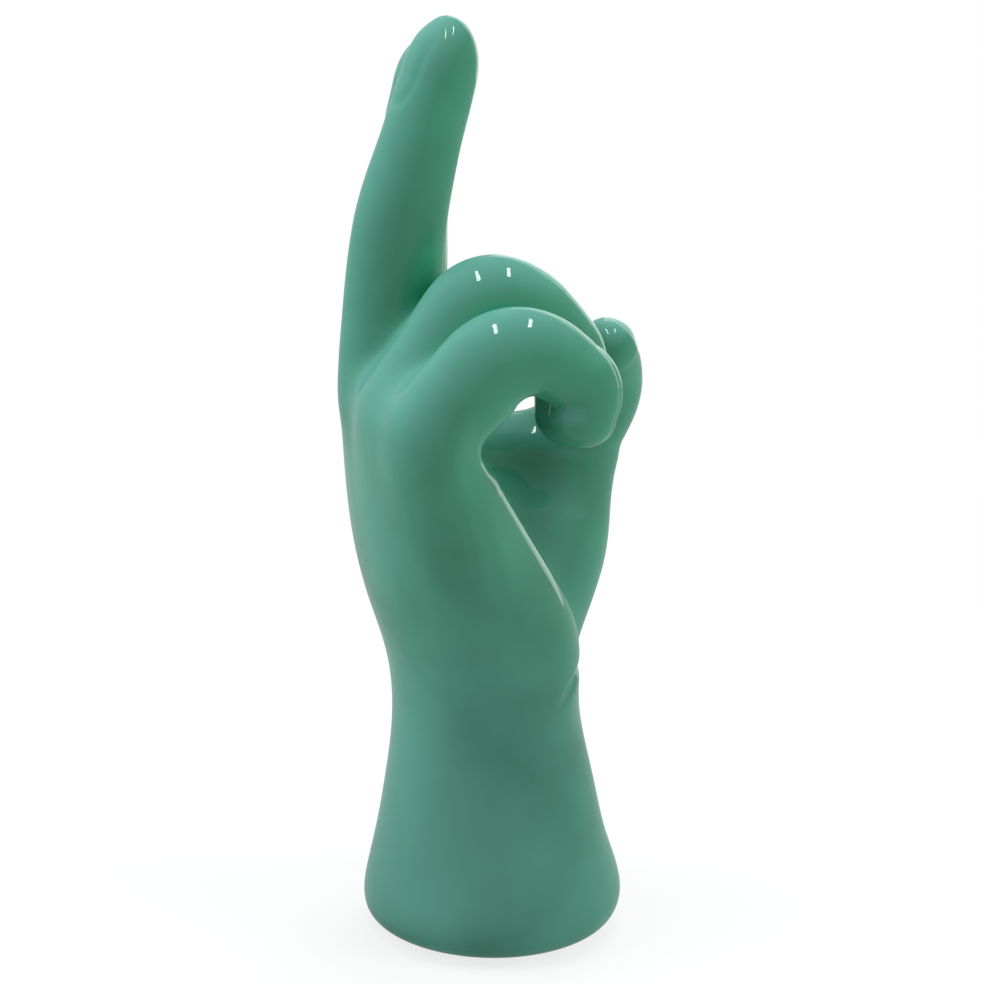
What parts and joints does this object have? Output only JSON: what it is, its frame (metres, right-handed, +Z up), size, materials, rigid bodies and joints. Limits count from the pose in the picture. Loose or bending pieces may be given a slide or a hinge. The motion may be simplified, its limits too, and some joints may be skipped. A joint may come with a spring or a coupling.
{
  "type": "ceramic hand sculpture",
  "caption": "Free-standing glazed ceramic hand making a V sign on a flared round foot: a hollow cast body with luted digits, closed by a slab and felt underneath.",
  "frame": {"origin": "centre of the felt's lower face, on the surface that the sculpture stands on", "axes": "+Z up along the wrist, +X the way the palm faces, +Y towards the thumb side"},
  "size_m": [0.0877, 0.0984, 0.2499],
  "materials": {
    "glaze": "glossy celadon-teal glaze",
    "bisque": "unglazed matt bisque",
    "felt": "dark pressed felt"
  },
  "bodies": {
    "root": {"hand_body": "glaze", "index_finger": "glaze", "middle_finger": "glaze", "ring_finger": "glaze", "little_finger": "glaze", "thumb": "glaze", "base_slab": "bisque", "felt_pad": "felt"}
  },
  "joints": []
}
